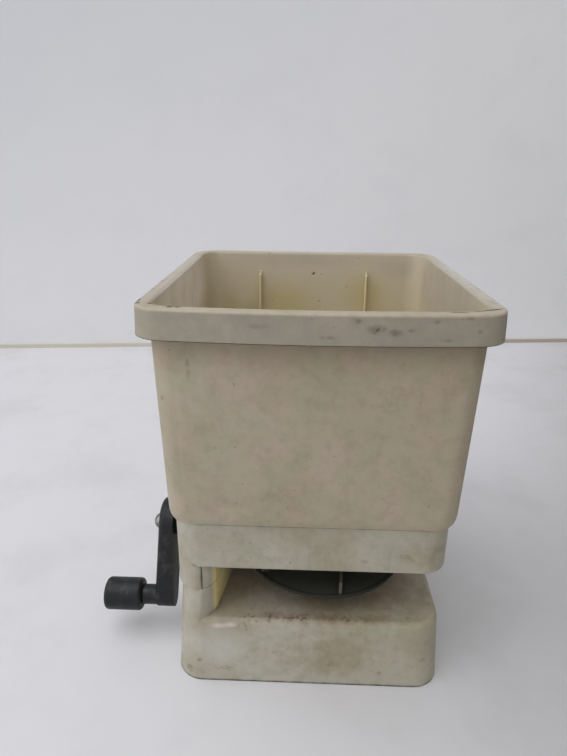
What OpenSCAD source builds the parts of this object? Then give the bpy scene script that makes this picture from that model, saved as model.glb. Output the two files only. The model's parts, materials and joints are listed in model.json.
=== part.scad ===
// Hand spreader: a moulded hopper on a gear housing and a base, with a side crank that spins
// a throwing disc in the open bay between them. Millimetres, +Z up, front at -Y.
// The origin is the middle of the base's underside.

/* [Hopper] */
// Outside width of the hopper's rim
rim_w = 178; // [174:1:184]
// Outside depth of the hopper's rim
rim_d = 189; // [185:1:195]
// Plan radius of the rim's corners
rim_r = 16; // [12:1:20]
// Height of the rim's turned-down skirt
rim_skirt = 15; // [10:1:22]
// Thickness of the rim's top and skirt
rim_t = 2.2; // [1.6:0.2:3]
// How much further out the skirt's lower edge stands than its top
rim_flare = 0.7; // [0:0.1:1]
// How far the middle of the front rim bows out
rim_bow = 3.3; // [1:0.1:5]
// Hopper width just below the rim
hopper_w = 166.3; // [162:0.1:168]
// Hopper depth just below the rim
hopper_d = 177.3; // [173:0.1:179]
// Height of the hopper, seam to rim
hopper_h = 123.7; // [110:0.1:150]
// Plan radius of the hopper's corners
hopper_r = 13; // [9:1:16]
// Draft of the hopper's walls, degrees
hopper_draft = 1.4; // [0.5:0.1:1.8]
// Thickness of the hopper's walls
hopper_wall = 2; // [1.6:0.1:2.6]
// Thickness of the hopper's floor
floor_t = 2.5; // [2:0.1:3.5]
// Height of the curve at the foot of the hopper's walls
toe_h = 9; // [5:0.5:12]
// How far that curve draws the walls in
toe_in = 2.4; // [1.6:0.1:3]
// Distance between the two ribs on the back wall
rib_pitch = 80; // [60:1:100]
// Thickness of those ribs
rib_t = 1.6; // [1.2:0.1:2.4]
// How far the ribs stand off the wall
rib_depth = 5; // [3:0.5:8]
// Distance from the rim down to the ribs' tops
rib_drop = 13.5; // [8:0.5:20]

/* [Outlet and gate] */
// Outlet width, side to side
port_w = 16; // [12:1:18]
// Outlet length, front to back
port_l = 18; // [14:1:20]
// Outlet centre, to the right of the disc's axis
port_dx = 23; // [22:0.5:25]
// Outlet centre, behind the disc's axis
port_dy = 15; // [13:0.5:17]
// Width of the sliding gate
gate_w = 26; // [24:0.5:28]
// Thickness of the gate
gate_t = 2; // [1.6:0.1:2.4]
// Travel of the gate, open to shut
gate_travel = 22; // [20:1:24]
// Width of the gate's stem
stem_w = 12; // [8:1:14]
// Width, depth and height of the thumb tab
tab_size = [18, 12, 16]; // [10:1:24]
// Gap between the shut tab and the hopper's back wall
tab_gap = 2.4; // [2:0.1:6]

/* [Gear housing] */
// Outside width of the gear housing
band_w = 156; // [152:1:158]
// Outside depth of the gear housing
band_d = 167.2; // [163:1:169]
// Height of the gear housing's band
band_h = 29.2; // [28:0.1:34]
// How far its left and rear walls hang below the band
ear_h = 16.6; // [16.4:0.1:20]
// Plan radius of its corners
band_r = 15; // [12:1:18]
// Thickness of its walls
band_wall = 2.5; // [2:0.1:3]
// Thickness of the gear cover
cover_t = 2.2; // [1.8:0.1:3]
// How far the cover sits above the band's lower edge
cover_rise = 1.4; // [1.4:0.1:2]
// X of the upright joint between the ear and the gear cover
joint_x = -62.8; // [-64:0.1:-61]

/* [Base] */
// Width of the base at the ground
base_w = 161.4; // [159:0.2:164]
// Depth of the base at the ground
base_d = 172.4; // [170:0.2:175]
// Height of the base's top above the ground
base_h = 45.1; // [43:0.1:48]
// Height of the base's left and rear walls above its top
column_h = 20.9; // [19:0.1:23]
// Draft of the base's walls, degrees
base_draft = 3.4; // [2:0.1:4]
// Plan radius of the base's corners
base_r = 16; // [12:1:20]
// Thickness of the base's walls
base_wall = 2.5; // [2:0.1:3]
// Radius of the base's top edge, front and right
base_edge = 3.5; // [2:0.5:5]

/* [Disc and bay] */
// X of the disc's axis
disc_x = 9.5; // [8:0.1:11]
// Y of the disc's axis
disc_y = -28; // [-30:0.1:-26]
// Radius of the throwing disc
disc_r = 51.3; // [48:0.1:53]
// Height of the disc's underside above the ground
disc_z = 59.3; // [59.1:0.1:59.5]
// Thickness of the disc
disc_t = 2; // [1.6:0.1:2.2]
// Depth of the well in the disc's middle
well_h = 2.9; // [2.7:0.1:3.2]
// Number of vanes
vane_n = 6; // [4:1:8]
// Height of the vanes
vane_h = 8.8; // [6:0.1:8.9]
// Thickness of the vanes
vane_t = 1.8; // [1:0.1:2.2]
// Sideways offset of each vane from the axis
vane_offset = 13.3; // [8:0.1:16]
// Radius where the vanes start
vane_in = 25; // [24.5:0.5:30]
// Resting direction of the first vane, degrees from +X
vane_turn = -95.6; // [-120:0.1:-60]
// Radius of the deflector wall round the disc
sweep_r = 57.2; // [55:0.1:58]
// Slant of the wall's straight run on the left, degrees
sweep_slant = 8.7; // [7:0.1:10]
// How far behind the axis the wall ends on the right
sweep_back = 32.8; // [31:0.1:35]
// Plan radius of the wall's front end on the left
bay_flare = 14; // [10:0.5:15]

/* [Crank] */
// Height of the crank's axis above the ground
crank_z = 74.3; // [74:0.1:74.5]
// Distance from the crank's axis to the knob's
crank_len = 49.5; // [46:0.5:52]
// Resting tilt of the arm towards the front, degrees
crank_tilt = 20; // [0:1:40]
// Gap between the housing's left wall and the arm
arm_gap = 10; // [9:0.1:14]
// Thickness of the arm at its shaft
arm_t = 9.5; // [9:0.1:13]
// How much thicker the arm is at its knob
arm_lean = 3.1; // [1:0.1:4]
// Radius of the arm's end on the shaft
arm_top_r = 16; // [12:0.5:17]
// Radius of the arm's end at the knob
arm_end_r = 7.2; // [7:0.2:9]
// Radius of the arm's outer edge round its shaft, half of it at the knob
arm_edge = 3.5; // [1:0.5:5]
// Diameter of the knob
knob_d = 20.8; // [20:0.2:26]
// Length of the knob
knob_len = 24.5; // [22:0.5:30]
// Radius of the knob's edges
knob_edge = 2.5; // [1:0.5:4]
// Diameter of the neck between the arm and the knob
neck_d = 12.8; // [12:0.2:14]
// Length of that neck
neck_len = 8.8; // [6:0.2:10]

/* [Drive] */
// Radius of the crank's shaft
shaft_r = 3; // [2.8:0.1:3.1]
// Radius of the disc's shaft
spindle_r = 2.5; // [2.4:0.1:2.5]
// Teeth of the drive gear
gear_n = 24; // [20:1:24]
// Teeth of the pinion
pinion_n = 9; // [8:1:10]
// Size of the teeth, pitch diameter over number
tooth_m = 1; // [0.9:0.05:1]
// Radius of the knob's pin
pin_r = 3.5; // [3:0.1:4]
// Length, width and height of the agitator's bar
agitator_bar = [50, 3, 5]; // [2:1:60]

/* [Handle] */
// Height of the handle's upper arm above the ground
grip_top_z = 184; // [178:1:184]
// Height of the handle's lower arm above the ground
grip_low_z = 76; // [76:0.5:78]
// Finger gap between the hopper and the grip
finger_gap = 34; // [32:1:40]
// Width of the handle, side to side
grip_w = 26; // [24:1:30]
// Thickness of the handle, front to back
grip_t = 20; // [18:1:24]
// Radius along the handle's edges
grip_edge = 7; // [4:0.5:8]
// Radius of the handle's bends at mid thickness
grip_bend = 24; // [18:1:28]
// Thickness of the two handle shells
grip_wall = 2.2; // [1.8:0.1:3]

/* [Fits] */
// Running clearance of shafts in their bushings
run_fit = 0.05; // [0.03:0.01:0.08]
// Clearance between moulded parts that slide or nest
slide_fit = 0.4; // [0.3:0.05:0.6]
// Clearance of screws and fixed pins in their holes
hole_fit = 0.05; // [0.03:0.01:0.1]

/* [Hidden] */

$fn = 48;
far = 200;
skin = 0.02;
hair = 0.25;
cream = "#cfc6ac";
cream_cool = "#c6c0a8";
black = "#26262a";
steel = "#b8babd";
brass = "#b99a5b";

// Levels above the ground
split_z = base_h + column_h;
band_z = split_z + ear_h;
seam_z = band_z + band_h;
rim_z = seam_z + hopper_h;
floor_z = seam_z + floor_t;
cover_z = band_z + cover_rise;

// Hopper
skirt_z = rim_z - rim_skirt;
mouth_d = hopper_d - 2 * hopper_wall;

// Outlet and gate
port_x = disc_x + port_dx;
port_y = disc_y + port_dy;
gate_z = seam_z - slide_fit - gate_t;
rail_t = 1.5;
rail_foot = 2;
rail_z = gate_z - slide_fit - rail_t;
gate_front = port_y + port_l / 2 + 2;
gate_back = gate_front + gate_travel + port_l + 4;
tab_y = hopper_d / 2 + tab_gap + gate_travel;
tab_screw_y = 5;
chute_wall = 1.7;
chute_gap = 0.5;

// Bay
leg_notch = [2.6, 1.1];
flare_over = 0.1;
sweep_end_y = disc_y + sweep_back;
disc_top = disc_z + disc_t;
well_z = disc_z - well_h;
well_r = 16;
hub_r = 8;
boss_top = base_h + 3;
washer_t = 1;
hub_z = boss_top + washer_t + 0.15;
socket_depth = 9;
socket_floor = 3;

// Crank
arm_in = -band_w / 2 - arm_gap;
arm_out = arm_in - arm_t;
knob_y = disc_y - crank_len * sin(crank_tilt);
knob_z = crank_z - crank_len * cos(crank_tilt);
neck_end = arm_out - arm_lean - neck_len;
knob_in = neck_end - 0.3;
knob_out = knob_in - knob_len;
knob_pocket = 7;
knob_pocket_r = 7.5;
flange_t = 1.5;
bush_wall = 2.5;
crank_washer_t = 0.7;
arm_hub_x = -band_w / 2 - flange_t - crank_washer_t - 0.2;
screw_r = 1.5;
dome_r = 5.8;
dome_h = 5.65;
arm_floor = 2.3;

// Gears: the drive gear's face teeth look along +X and mesh with the pinion above its axis
pitch_r = tooth_m * gear_n / 2;
pinion_r = tooth_m * pinion_n / 2;
addendum = 0.8 * tooth_m;
dedendum = tooth_m;
face_in = pitch_r - tooth_m;
face_out = pitch_r + 1.2 * tooth_m;
face_x = disc_x - pinion_r;
tooth_root = 0.7 * tooth_m;
tooth_tip = 0.25 * tooth_m;
web_t = 3.5;
gear_hub_r = 6;
gear_hub_l = 6;
gear_back = face_x - dedendum - web_t;
gear_hub_x = gear_back - gear_hub_l;
gear_pin_x = gear_hub_x + 3;
pinion_root = pinion_r - 1.1 * tooth_m;
pinion_tip = pinion_r + 0.7 * tooth_m;
pinion_z = crank_z + face_in - 0.7;
pinion_h = face_out - face_in + 1.8;
pinion_hub_r = 5;
pinion_hub_h = 7;
cross_r = 1;
pin_inset = 0.3;

// Gearbox pod that hangs from the cover round the drive gear
pod_gap = 0.7;
pod_wall = 1.2;
pod_r = face_out + pod_gap + pod_wall;
pod_x0 = gear_back - 0.3 - pod_wall;
pod_x1 = disc_x + pinion_tip + 0.9 + pod_wall;
neck_r = gear_hub_r + 0.8 + pod_wall;
inner_bush_x = gear_hub_x - 0.3;
neck_x = inner_bush_x - 7;

// Bushings
floor_boss_h = 7.8;
floor_bush_r = 4.5;
crank_bush_r = shaft_r + bush_wall;
crank_boss_l = 14;
crank_boss_r = 8;
inner_bush_r = 4.5;

// Spindle
spindle_bottom = boss_top - socket_depth + 0.4;
agitator_z = floor_z + flange_t + 0.5;
agitator_h = 10;
agitator_hub_r = 6.5;
spindle_top = agitator_z + agitator_h - 1;
clip_z = seam_z - floor_boss_h - 2;
clip_t = 0.7;
clip_depth = 0.3;

// Screws: shank radius and head of each kind
base_screw_r = 2;
base_screw_head = 4;
base_seat_z = 45;
base_screw_l = 36;
post_r = 6.5;
ear_post_r = 5;
hopper_screw_r = 1.75;
cover_screw_r = 1.5;
cover_screw_l = 13;
cover_post_z = cover_z + cover_t + 0.2;
hopper_head_z = cover_post_z + 5;
small_head_r = 3.2;
small_head_h = 1.3;
wall_post_r = 4.5;
wall_post_y = band_d / 2 - band_wall - wall_post_r + 0.4;
base_posts = [[-66, -62], [-66, 66], [0, 71], [66, 66]];
hopper_posts = [[-52, -wall_post_y], [52, -wall_post_y], [-52, wall_post_y], [52, wall_post_y]];
cross_rib_y = disc_y + 42;
cross_rib_t = 2.2;
cover_posts = [[disc_x - 40, -wall_post_y], [disc_x + 20, -wall_post_y],
    [disc_x - 30, cross_rib_y], [disc_x + 30, cross_rib_y]];

// Handle
wall_back_top = hopper_d / 2 + 0.3;
wall_back_low = band_d / 2;
grip_y = hopper_d / 2 + finger_gap + grip_t / 2;
foot_t = 3;
foot_w = 48;
foot_h = 19;
foot_screw_x = 18;
foot_boss_l = 8;
foot_boss_r = 4.2;
foot_r = 5;
foot_screw_l = foot_t + foot_boss_l - 0.5;
clamp_points = [[wall_back_top + 16, grip_top_z], [wall_back_top + 16, grip_low_z],
    [grip_y, (grip_top_z + grip_low_z) / 2]];
clamp_boss_r = 4;
clamp_r = 1.5;

// Rounded rectangle with its front side bowed out
module plan(w, d, r, bow = 0, n = 32) {
    square([w - 2 * r, d], center = true);
    square([w, d - 2 * r], center = true);
    for (sx = [-1, 1], sy = [-1, 1])
        translate([sx * (w / 2 - r), sy * (d / 2 - r)]) circle(r, $fn = n);
    if (bow > 0) {
        half = w / 2 - r;
        bow_r = (half * half + bow * bow) / (2 * bow);
        intersection() {
            translate([0, bow_r - d / 2 - bow]) circle(bow_r, $fn = 360);
            translate([-half, -d / 2 - bow]) square([2 * half, d / 2 + bow]);
        }
    }
}

// Thin slice of a rounded rectangle, the stuff of the tapered walls
module slice(z, w, d, r, bow = 0) {
    translate([0, 0, z]) linear_extrude(skin) plan(w, d, r, bow);
}

module x_rod(x0, x1, r) {
    translate([x0, 0, 0]) rotate([0, 90, 0]) cylinder(h = x1 - x0, r = r);
}

module x_ring(x0, x1, r_out, r_in) {
    difference() {
        x_rod(x0, x1, r_out);
        x_rod(x0 - 1, x1 + 1, r_in);
    }
}

module z_ring(z, h, r_out, r_in) {
    translate([0, 0, z]) difference() {
        cylinder(h = h, r = r_out);
        translate([0, 0, -1]) cylinder(h = h + 2, r = r_in);
    }
}

module at_crank() {
    translate([0, disc_y, crank_z]) children();
}

module at_knob() {
    translate([0, knob_y, knob_z]) children();
}

module at_spindle() {
    translate([disc_x, disc_y, 0]) children();
}

// Pan-headed screw that points up, its head's seat at the origin
module screw(r, l, head_r, head_h) {
    cylinder(h = l, r = r);
    translate([0, 0, -head_h]) cylinder(h = head_h, r = head_r);
}

// Plan of the bay: open to the front and right, closed by the deflector on the left and rear
module bay_plan(grow = 0) {
    tangent = [disc_x - (sweep_r + grow) * cos(sweep_slant),
        disc_y + (sweep_r + grow) * sin(sweep_slant)];
    front_x = tangent[0] - far * tan(sweep_slant);
    translate([disc_x, disc_y]) circle(sweep_r + grow, $fn = 96);
    polygon([tangent, [front_x, tangent[1] - far], [far, tangent[1] - far],
        [far, sweep_end_y + grow], [disc_x, sweep_end_y + grow]]);
    flare_r = bay_flare - grow;
    flare_y = bay_flare - band_d / 2;
    flare_x = disc_x - (sweep_r + bay_flare - (flare_y - disc_y) * sin(sweep_slant)) / cos(sweep_slant);
    difference() {
        polygon([[flare_x, flare_y], [flare_x, tangent[1] - far], [0, tangent[1] - far],
            [flare_x + 2 * bay_flare * cos(sweep_slant), flare_y - 2 * bay_flare * sin(sweep_slant)]]);
        translate([flare_x + flare_over, flare_y]) circle(flare_r, $fn = 96);
    }
}

module wall_plan(grow = 0) {
    difference() {
        square(2 * far, center = true);
        bay_plan(grow);
    }
}

// Hopper: tapered box with a turned-down rim
function hopper_in(z) = 2 * (skirt_z - z) * tan(hopper_draft);

module hopper_body(inset, z0, z1) {
    toe = seam_z + toe_h;
    out = hopper_in(z1) + 2 * inset;
    hull() {
        for (a = [0 : 22.5 : 90]) {
            z = toe - toe_h * cos(a);
            draw = hopper_in(toe) + 2 * toe_in * (1 - sin(a)) + 2 * inset;
            zz = max(z, z0);
            slice(zz, hopper_w - draw, hopper_d - draw, hopper_r - inset / 2);
        }
        slice(z1 - skin, hopper_w - out, hopper_d - out, hopper_r - inset / 2, rim_bow);
    }
}

module hopper() {
    color(cream) {
        difference() {
            union() {
                hopper_body(0, seam_z, rim_z);
                difference() {
                    skirt_box(0, skirt_z, rim_z);
                    skirt_box(rim_t, skirt_z - 1, rim_z - rim_t);
                }
            }
            hopper_body(hopper_wall, floor_z, rim_z + 1);
            translate([port_x - port_w / 2, port_y - port_l / 2, seam_z - 1])
                cube([port_w, port_l, floor_t + 2]);
            at_spindle() translate([0, 0, seam_z - 1]) cylinder(h = floor_t + 2, r = floor_bush_r + hole_fit);
            for (p = hopper_posts) translate([p[0], p[1], seam_z - 1])
                cylinder(h = floor_t + 2, r = hopper_screw_r + hole_fit);
            for (x = [-foot_screw_x, foot_screw_x]) translate([x, far / 2, grip_top_z]) rotate([90, 0, 0])
                cylinder(h = far / 2, r = clamp_r + hole_fit);
        }
        hopper_ribs();
        hopper_bosses();
        gate_rails();
        handle_pad();
    }
}

// Rim's block, a little wider towards its lower edge
module skirt_box(inset, z0, z1) {
    hull() for (z = [z0, z1 - skin]) {
        out = rim_flare * (rim_z - z) / rim_skirt - inset;
        slice(z, rim_w + 2 * out, rim_d + 2 * out, rim_r + out, rim_bow);
    }
}

// Flat seat for the handle's upper foot on the tapered back wall
module handle_pad() {
    low = hopper_d / 2 - hopper_in(grip_top_z) / 2 - 0.8;
    difference() {
        translate([0, low, grip_top_z]) rotate([-90, 0, 0])
            linear_extrude(wall_back_top - low) plan(foot_w, foot_h, foot_r);
        for (x = [-foot_screw_x, foot_screw_x]) translate([x, far, grip_top_z]) rotate([90, 0, 0])
            cylinder(h = far, r = clamp_r + hole_fit);
    }
}

module hopper_ribs() {
    top = rim_z - rib_drop;
    wall_low = mouth_d / 2 - hopper_in(floor_z) / 2 - toe_in + 0.3;
    wall_top = mouth_d / 2 - hopper_in(top) / 2 + 0.3;
    for (x = [-rib_pitch / 2, rib_pitch / 2]) translate([x + rib_t / 2, 0, 0]) rotate([90, 0, -90])
        linear_extrude(rib_t) polygon([[-wall_low, floor_z - 0.5], [-wall_low + rib_depth, floor_z - 0.5],
            [-wall_top + rib_depth, top - rib_depth / 2], [-wall_top, top]]);
}

module hopper_bosses() {
    at_spindle() z_ring(seam_z - floor_boss_h, floor_boss_h, 8, floor_bush_r + hole_fit);
    for (p = hopper_posts) translate([p[0], p[1], floor_z]) difference() {
        cylinder(h = 6, r = wall_post_r - 0.5);
        translate([0, 0, -1]) cylinder(h = 5.5, r = hopper_screw_r + hole_fit);
    }
    boss_y = mouth_d / 2 - hopper_in(grip_top_z) / 2 + 0.5;
    for (x = [-foot_screw_x, foot_screw_x]) translate([x, boss_y, grip_top_z]) rotate([90, 0, 0])
        difference() {
            cylinder(h = foot_boss_l, r = foot_boss_r);
            translate([0, 0, -1]) cylinder(h = foot_boss_l, r = clamp_r + hole_fit);
        }
}

module gate_rails() {
    rail_y = gate_front - gate_travel - 2;
    for (s = [-1, 1]) translate([port_x, rail_y, rail_z]) mirror([s < 0 ? 1 : 0, 0, 0])
        translate([gate_w / 2 + slide_fit, 0, 0]) {
            cube([rail_t, gate_back - rail_y + 4, seam_z - rail_z]);
            translate([-rail_foot, 0, 0]) cube([rail_foot + 0.5, gate_back - rail_y + 4, rail_t]);
        }
}

// Gear housing: an open band whose left and rear walls hang down over the base's
module gear_housing() {
    color(cream_cool) difference() {
        union() {
            translate([0, 0, band_z]) linear_extrude(band_h) band_ring();
            translate([0, 0, split_z]) linear_extrude(ear_h) ear_plan();
            housing_posts();
            translate([-(band_w - band_wall) / 2, cross_rib_y - cross_rib_t / 2, cover_post_z])
                cube([band_w - band_wall, cross_rib_t, 18]);
            at_crank() x_rod(-band_w / 2, -band_w / 2 + crank_boss_l, crank_boss_r);
        }
        for (p = base_posts) translate([p[0], p[1], split_z - 1])
            cylinder(h = base_screw_l - (split_z - base_seat_z) + 2.5, r = base_screw_r + hole_fit);
        for (p = hopper_posts) translate([p[0], p[1], 0]) cylinder(h = far, r = hopper_screw_r + hole_fit);
        for (p = cover_posts) translate([p[0], p[1], 0])
            cylinder(h = cover_z + 14, r = cover_screw_r + hole_fit);
        for (x = [-foot_screw_x, foot_screw_x]) translate([x, far / 2, grip_low_z]) rotate([90, 0, 0])
            cylinder(h = far / 2 - band_d / 2 + foot_boss_l + 0.2, r = clamp_r + hole_fit);
        at_crank() x_rod(-band_w, 0, crank_bush_r + hole_fit);
        translate([port_x - stem_w / 2 - slide_fit, band_d / 2 - 10, gate_z - slide_fit])
            cube([stem_w + 2 * slide_fit, 20, gate_t + 2 * slide_fit + 1]);
    }
}

// Plan of the hanging walls, left and rear, rounded off at the bay's front corner
module ear_plan() {
    difference() {
        union() {
            intersection() {
                band_ring();
                union() {
                    left_of_joint();
                    translate([-far, sweep_end_y]) square([2 * far, far]);
                }
            }
            intersection() {
                plan(band_w, band_d, band_r);
                bay_plan(band_wall);
                left_of_joint();
            }
        }
        bay_plan();
    }
}

module left_of_joint() {
    translate([-far, -far]) square([far + joint_x, 2 * far]);
}

module band_ring() {
    difference() {
        plan(band_w, band_d, band_r);
        plan(band_w - 2 * band_wall, band_d - 2 * band_wall, band_r - band_wall);
    }
}

module housing_posts() {
    edge_x = band_w / 2 - 1;
    edge_y = band_d / 2 - 1;
    for (p = base_posts) translate([p[0], p[1], split_z]) {
        cylinder(h = ear_h + 8, r = ear_post_r);
        if (p[0] < 0) translate([-edge_x - p[0], -1, 0]) cube([edge_x + p[0], 2, ear_h]);
        else translate([-1, 0, 0]) cube([2, edge_y - p[1], ear_h]);
    }
    for (p = hopper_posts) translate([p[0], p[1], hopper_head_z])
        cylinder(h = seam_z - hopper_head_z, r = wall_post_r);
    for (p = cover_posts) translate([p[0], p[1], cover_post_z]) cylinder(h = 16, r = wall_post_r);
    for (x = [-foot_screw_x, foot_screw_x]) translate([x, band_d / 2 - 1, grip_low_z]) rotate([90, 0, 0])
        cylinder(h = foot_boss_l, r = foot_boss_r);
}

// Gear cover: the bay's ceiling, with its skirt, the gearbox pod and the outlet chute
module gear_cover() {
    chute_w = port_w + 1;
    chute_l = port_l + 1;
    color(cream_cool) difference() {
        union() {
            translate([0, 0, cover_z]) linear_extrude(cover_t) intersection() {
                cover_outline();
                bay_plan(cover_t);
            }
            translate([0, 0, split_z]) linear_extrude(cover_z + cover_t - split_z) intersection() {
                cover_outline();
                cover_skirt();
            }
            difference() {
                translate([0, 0, split_z]) linear_extrude(ear_h - hair) cover_leg();
                translate([joint_x, -band_d / 2, band_z - leg_notch[1]]) cube([leg_notch[0], 5, 3]);
            }
            pod(pod_x0, pod_x1, pod_r);
            pod(neck_x, pod_x0 + 1, neck_r);
            translate([port_x - chute_w / 2 - chute_wall, port_y - chute_l / 2 - chute_wall, cover_z])
                cube([chute_w + 2 * chute_wall, chute_l + 2 * chute_wall, rail_z - chute_gap - cover_z]);
        }
        pod(pod_x0 + pod_wall, pod_x1 - pod_wall, pod_r - pod_wall, 1);
        pod(inner_bush_x, pod_x0 + pod_wall + 1, neck_r - pod_wall, 1);
        at_crank() x_rod(-far / 2, gear_hub_x + 1, shaft_r + 0.6);
        at_crank() x_rod(neck_x - 1, gear_hub_x, inner_bush_r + hole_fit);
        at_spindle() cylinder(h = crank_z, r = spindle_r + 0.5);
        translate([port_x - chute_w / 2, port_y - chute_l / 2, 0]) cube([chute_w, chute_l, far]);
        for (p = cover_posts) translate([p[0], p[1], 0]) cylinder(h = far, r = cover_screw_r + 0.3);
    }
}

module cover_outline() {
    gap = 2 * (band_wall + slide_fit);
    plan(band_w - gap, band_d - gap, band_r - gap / 2);
}

module cover_skirt() {
    difference() {
        bay_plan(cover_t);
        bay_plan();
        translate([slide_fit, 0]) left_of_joint();
    }
    cover_leg();
}

// Front end of the skirt, flush with the housing's front face
module cover_leg() {
    difference() {
        translate([joint_x + slide_fit, -band_d / 2]) square([20, cover_t + band_wall + slide_fit]);
        bay_plan();
    }
}

// Round-bottomed trough along the crank's axis, up to the cover's top
module pod(x0, x1, r, over = 0) {
    at_crank() {
        intersection() {
            x_rod(x0, x1, r);
            translate([x0, -r, -r]) cube([x1 - x0, 2 * r, r]);
        }
        translate([x0, -r, 0]) cube([x1 - x0, 2 * r, cover_z + cover_t - crank_z + over]);
    }
}

// Base: a hollow box, open below, with the lower part of the left and rear walls
function base_in(z) = 2 * z * tan(base_draft);

module base_box(inset, z0, z1) {
    hull() for (z = [z0, z1 - skin])
        slice(z, base_w - base_in(z) - 2 * inset, base_d - base_in(z) - 2 * inset, base_r - inset);
}

// The base's rounded top edge: each step's drop below the top and its inset, in edge radii
shoulder_steps = [[1.4, -0.2], for (a = [22.5 : 22.5 : 90]) [1 - sin(a), 1 - cos(a)]];

module base_shoulder() {
    hull() for (step = shoulder_steps) {
        z = base_h - base_edge * step[0];
        inset = base_edge * step[1];
        translate([0, 0, z]) linear_extrude(skin) plan(base_w - base_in(z) - 2 * inset,
            base_d - base_in(z) - 2 * inset, base_r + 0.3 - inset, n = 36);
    }
}

module base() {
    edge_x = base_w / 2 - base_in(split_z) / 2 - base_wall / 2;
    edge_y = base_d / 2 - base_in(split_z) / 2 - base_wall / 2;
    color(cream_cool) difference() {
        union() {
            difference() {
                base_box(0, 0, split_z);
                translate([0, 0, base_h]) linear_extrude(far) bay_plan();
                difference() {
                    translate([0, 0, base_h - 1.2 * base_edge]) linear_extrude(2 * base_edge) bay_plan();
                    base_shoulder();
                }
                difference() {
                    base_box(base_wall, -1, split_z + 1);
                    translate([0, 0, base_h - base_wall]) linear_extrude(far) bay_plan(base_wall);
                }
            }
            for (p = base_posts) translate([p[0], p[1], 0]) {
                cylinder(h = split_z, r = post_r);
                translate([0, 0, base_h - 6]) if (p[0] < 0)
                    translate([-edge_x - p[0], -1, 0]) cube([edge_x + p[0], 2, column_h + 6]);
                else translate([-1, 0, 0]) cube([2, edge_y - p[1], column_h + 6]);
            }
            base_ribs();
            at_spindle() translate([0, 0, boss_top - socket_depth - socket_floor])
                cylinder(h = socket_depth + socket_floor, r = 9);
        }
        for (p = base_posts) translate([p[0], p[1], 0]) {
            translate([0, 0, -1]) cylinder(h = base_seat_z + 1, r = base_screw_head + 0.6);
            cylinder(h = far, r = base_screw_r + 0.1);
        }
        at_spindle() translate([0, 0, boss_top - socket_depth]) cylinder(h = far, r = spindle_r + run_fit);
    }
}

// Two crossed ribs under the base's top, flush with the ground
module base_ribs() {
    rib_h = base_h - base_wall + 0.2;
    for (turn = [0, 90]) {
        low = (turn == 0 ? base_w : base_d) / 2 - base_wall / 2;
        high = low - base_in(rib_h) / 2;
        rotate([90, 0, turn]) translate([0, 0, -1]) linear_extrude(2)
            polygon([[-low, 0], [low, 0], [high, rib_h], [-high, rib_h]]);
    }
}

// Handle: a D-loop in two hollow halves, with a foot on the hopper and one on the housing
module grip_section(inset) {
    plan(grip_w - 2 * inset, grip_t - 2 * inset, grip_edge - inset);
}

module grip_loop(inset, start) {
    bend_low = grip_low_z + grip_bend;
    bend_top = grip_top_z - grip_bend;
    bend_y = grip_y - grip_bend;
    translate([0, 0, grip_top_z]) arm_run(inset, start, bend_y);
    translate([0, 0, grip_low_z]) arm_run(inset, start - (hopper_d - band_d) / 2, bend_y);
    translate([0, grip_y, bend_low]) linear_extrude(bend_top - bend_low) grip_section(inset);
    translate([0, bend_y, bend_top]) rotate([0, -90, 0]) grip_bend_piece(inset);
    translate([0, bend_y, bend_low]) mirror([0, 0, 1]) rotate([0, -90, 0]) grip_bend_piece(inset);
}

module arm_run(inset, y0, y1) {
    translate([0, y1, 0]) rotate([90, 0, 0]) linear_extrude(y1 - y0) grip_section(inset);
}

module grip_bend_piece(inset) {
    rotate_extrude(angle = 90, $fn = 64) translate([grip_bend, 0]) rotate(90) grip_section(inset);
}

module handle_half(side) {
    start = wall_back_top + 1;
    color(cream) difference() {
        union() {
            intersection() {
                difference() {
                    grip_loop(0, start);
                    grip_loop(grip_wall, start + foot_t);
                }
                half_space(side);
            }
            for (c = clamp_points) translate([0, c[0], c[1]])
                x_rod(side < 0 ? -grip_w / 2 + 1 : skin, side < 0 ? -skin : grip_w / 2 - 1, clamp_boss_r);
            intersection() {
                union() {
                    translate([0, wall_back_top, grip_top_z]) handle_foot();
                    translate([0, wall_back_low, grip_low_z]) handle_foot();
                }
                half_space(side);
            }
        }
        for (c = clamp_points) translate([0, c[0], c[1]]) {
            x_rod(-grip_w, grip_w / 2 - 3, clamp_r + hole_fit);
            x_rod(-grip_w, -grip_w / 2 + 4, 3.2);
        }
        for (z = [grip_top_z, grip_low_z]) translate([side * foot_screw_x, far, z]) rotate([90, 0, 0])
            cylinder(h = far, r = clamp_r + 0.2);
    }
}

module half_space(side) {
    translate([side < 0 ? -far : skin, -far, -far]) cube([far - skin, 2 * far, 3 * far]);
}

module handle_foot() {
    rotate([-90, 0, 0]) linear_extrude(foot_t) plan(foot_w, foot_h, foot_r);
}

module handle_left() handle_half(-1);

module handle_right() handle_half(1);

module handle_clamp_screws() {
    color(steel) for (c = clamp_points) translate([-grip_w / 2 + 4, c[0], c[1]]) rotate([0, 90, 0])
        screw(clamp_r, grip_w - 8, 3, 1.5);
}

module handle_mount_screws() {
    color(steel) for (x = [-foot_screw_x, foot_screw_x]) {
        translate([x, wall_back_top + foot_t, grip_top_z]) rotate([90, 0, 0])
            screw(clamp_r, foot_screw_l, 3, 1.5);
        translate([x, wall_back_low + foot_t, grip_low_z]) rotate([90, 0, 0])
            screw(clamp_r, foot_screw_l, 3, 1.5);
    }
}

module hopper_screws() {
    color(steel) for (p = hopper_posts) translate([p[0], p[1], hopper_head_z])
        screw(hopper_screw_r, floor_z + 4 - hopper_head_z, small_head_r, small_head_h);
}

module cover_screws() {
    color(steel) for (p = cover_posts) translate([p[0], p[1], cover_z])
        screw(cover_screw_r, cover_screw_l, small_head_r, small_head_h - 0.1);
}

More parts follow.
